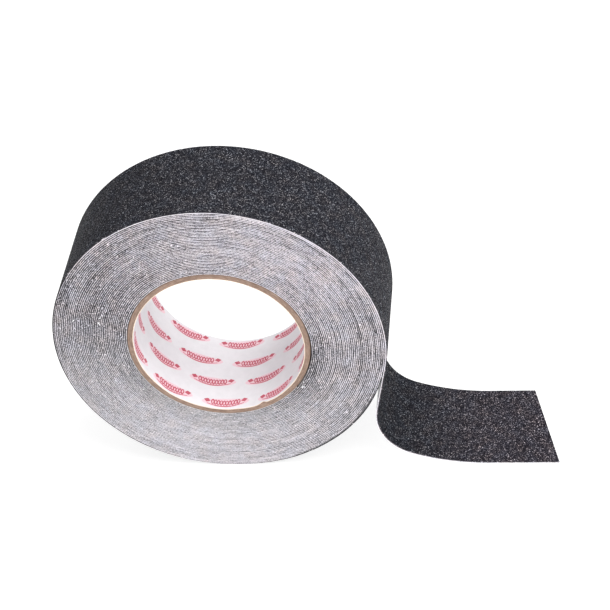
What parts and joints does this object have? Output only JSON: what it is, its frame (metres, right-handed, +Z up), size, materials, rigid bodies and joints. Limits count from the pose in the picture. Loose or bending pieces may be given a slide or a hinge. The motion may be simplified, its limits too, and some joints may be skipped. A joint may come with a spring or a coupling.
{
  "type": "grip tape roll",
  "caption": "Roll of self-adhesive anti-slip grip tape wound grit side out on a printed paper core, standing on its rim with the free end laid out flat.",
  "frame": {"origin": "on the floor under the roll's axis, at the middle of the tape's width", "axes": "+Z up, the roll's axis along Y with its front face towards -Y, +X towards the free end's tip"},
  "size_m": [0.2232, 0.048, 0.1479],
  "materials": {
    "kraft_board": "matte",
    "printed_paper": "satin",
    "wound_edge": "matte",
    "release_liner": "satin",
    "adhesive": "satin",
    "carrier_film": "satin",
    "grit_coat": "matte"
  },
  "bodies": {
    "roll": {"core_print_sleeve": "printed_paper", "core_tube": "kraft_board", "inner_turns": "wound_edge", "middle_turns": "wound_edge", "outer_turns": "wound_edge", "outer_turn_liner": "release_liner", "outer_turn_adhesive": "adhesive", "outer_turn_film": "carrier_film", "outer_turn_grit": "grit_coat"},
    "tail_lead": {"tail_lead_liner": "release_liner", "tail_lead_adhesive": "adhesive", "tail_lead_film": "carrier_film", "tail_lead_grit": "grit_coat"},
    "tail_bend": {"tail_bend_liner": "release_liner", "tail_bend_adhesive": "adhesive", "tail_bend_film": "carrier_film", "tail_bend_grit": "grit_coat"},
    "tail_end": {"tail_end_liner": "release_liner", "tail_end_adhesive": "adhesive", "tail_end_film": "carrier_film", "tail_end_grit": "grit_coat"},
    "peel_tab": {"peel_tab_adhesive": "adhesive", "peel_tab_film": "carrier_film", "peel_tab_grit": "grit_coat"}
  },
  "joints": [
    {"name": "tail_lift", "type": "hinge", "parent": "roll", "child": "tail_lead", "pos_m": [0.07307, 0, 0.05854], "axis": [0, -1, 0], "range_deg": [0, 25], "stiffness_Nm_per_rad": 0.002},
    {"name": "tail_flex_upper", "type": "hinge", "parent": "tail_lead", "child": "tail_bend", "pos_m": [0.06764, 0, 0.0273], "axis": [0, -1, 0], "range_deg": [0, 25], "stiffness_Nm_per_rad": 0.002},
    {"name": "tail_flex_lower", "type": "hinge", "parent": "tail_bend", "child": "tail_end", "pos_m": [0.09838, 0, 0.00263], "axis": [0, -1, 0], "range_deg": [0, 25], "stiffness_Nm_per_rad": 0.002},
    {"name": "corner_peel", "type": "hinge", "parent": "tail_end", "child": "peel_tab", "pos_m": [0.12511, 0, 0.00081], "axis": [0, -1, 0], "range_deg": [0, 120]}
  ],
  "couplings": [
    {"joint": "tail_flex_upper", "follows": "tail_lift", "ratio": 1},
    {"joint": "tail_flex_lower", "follows": "tail_lift", "ratio": 1}
  ]
}
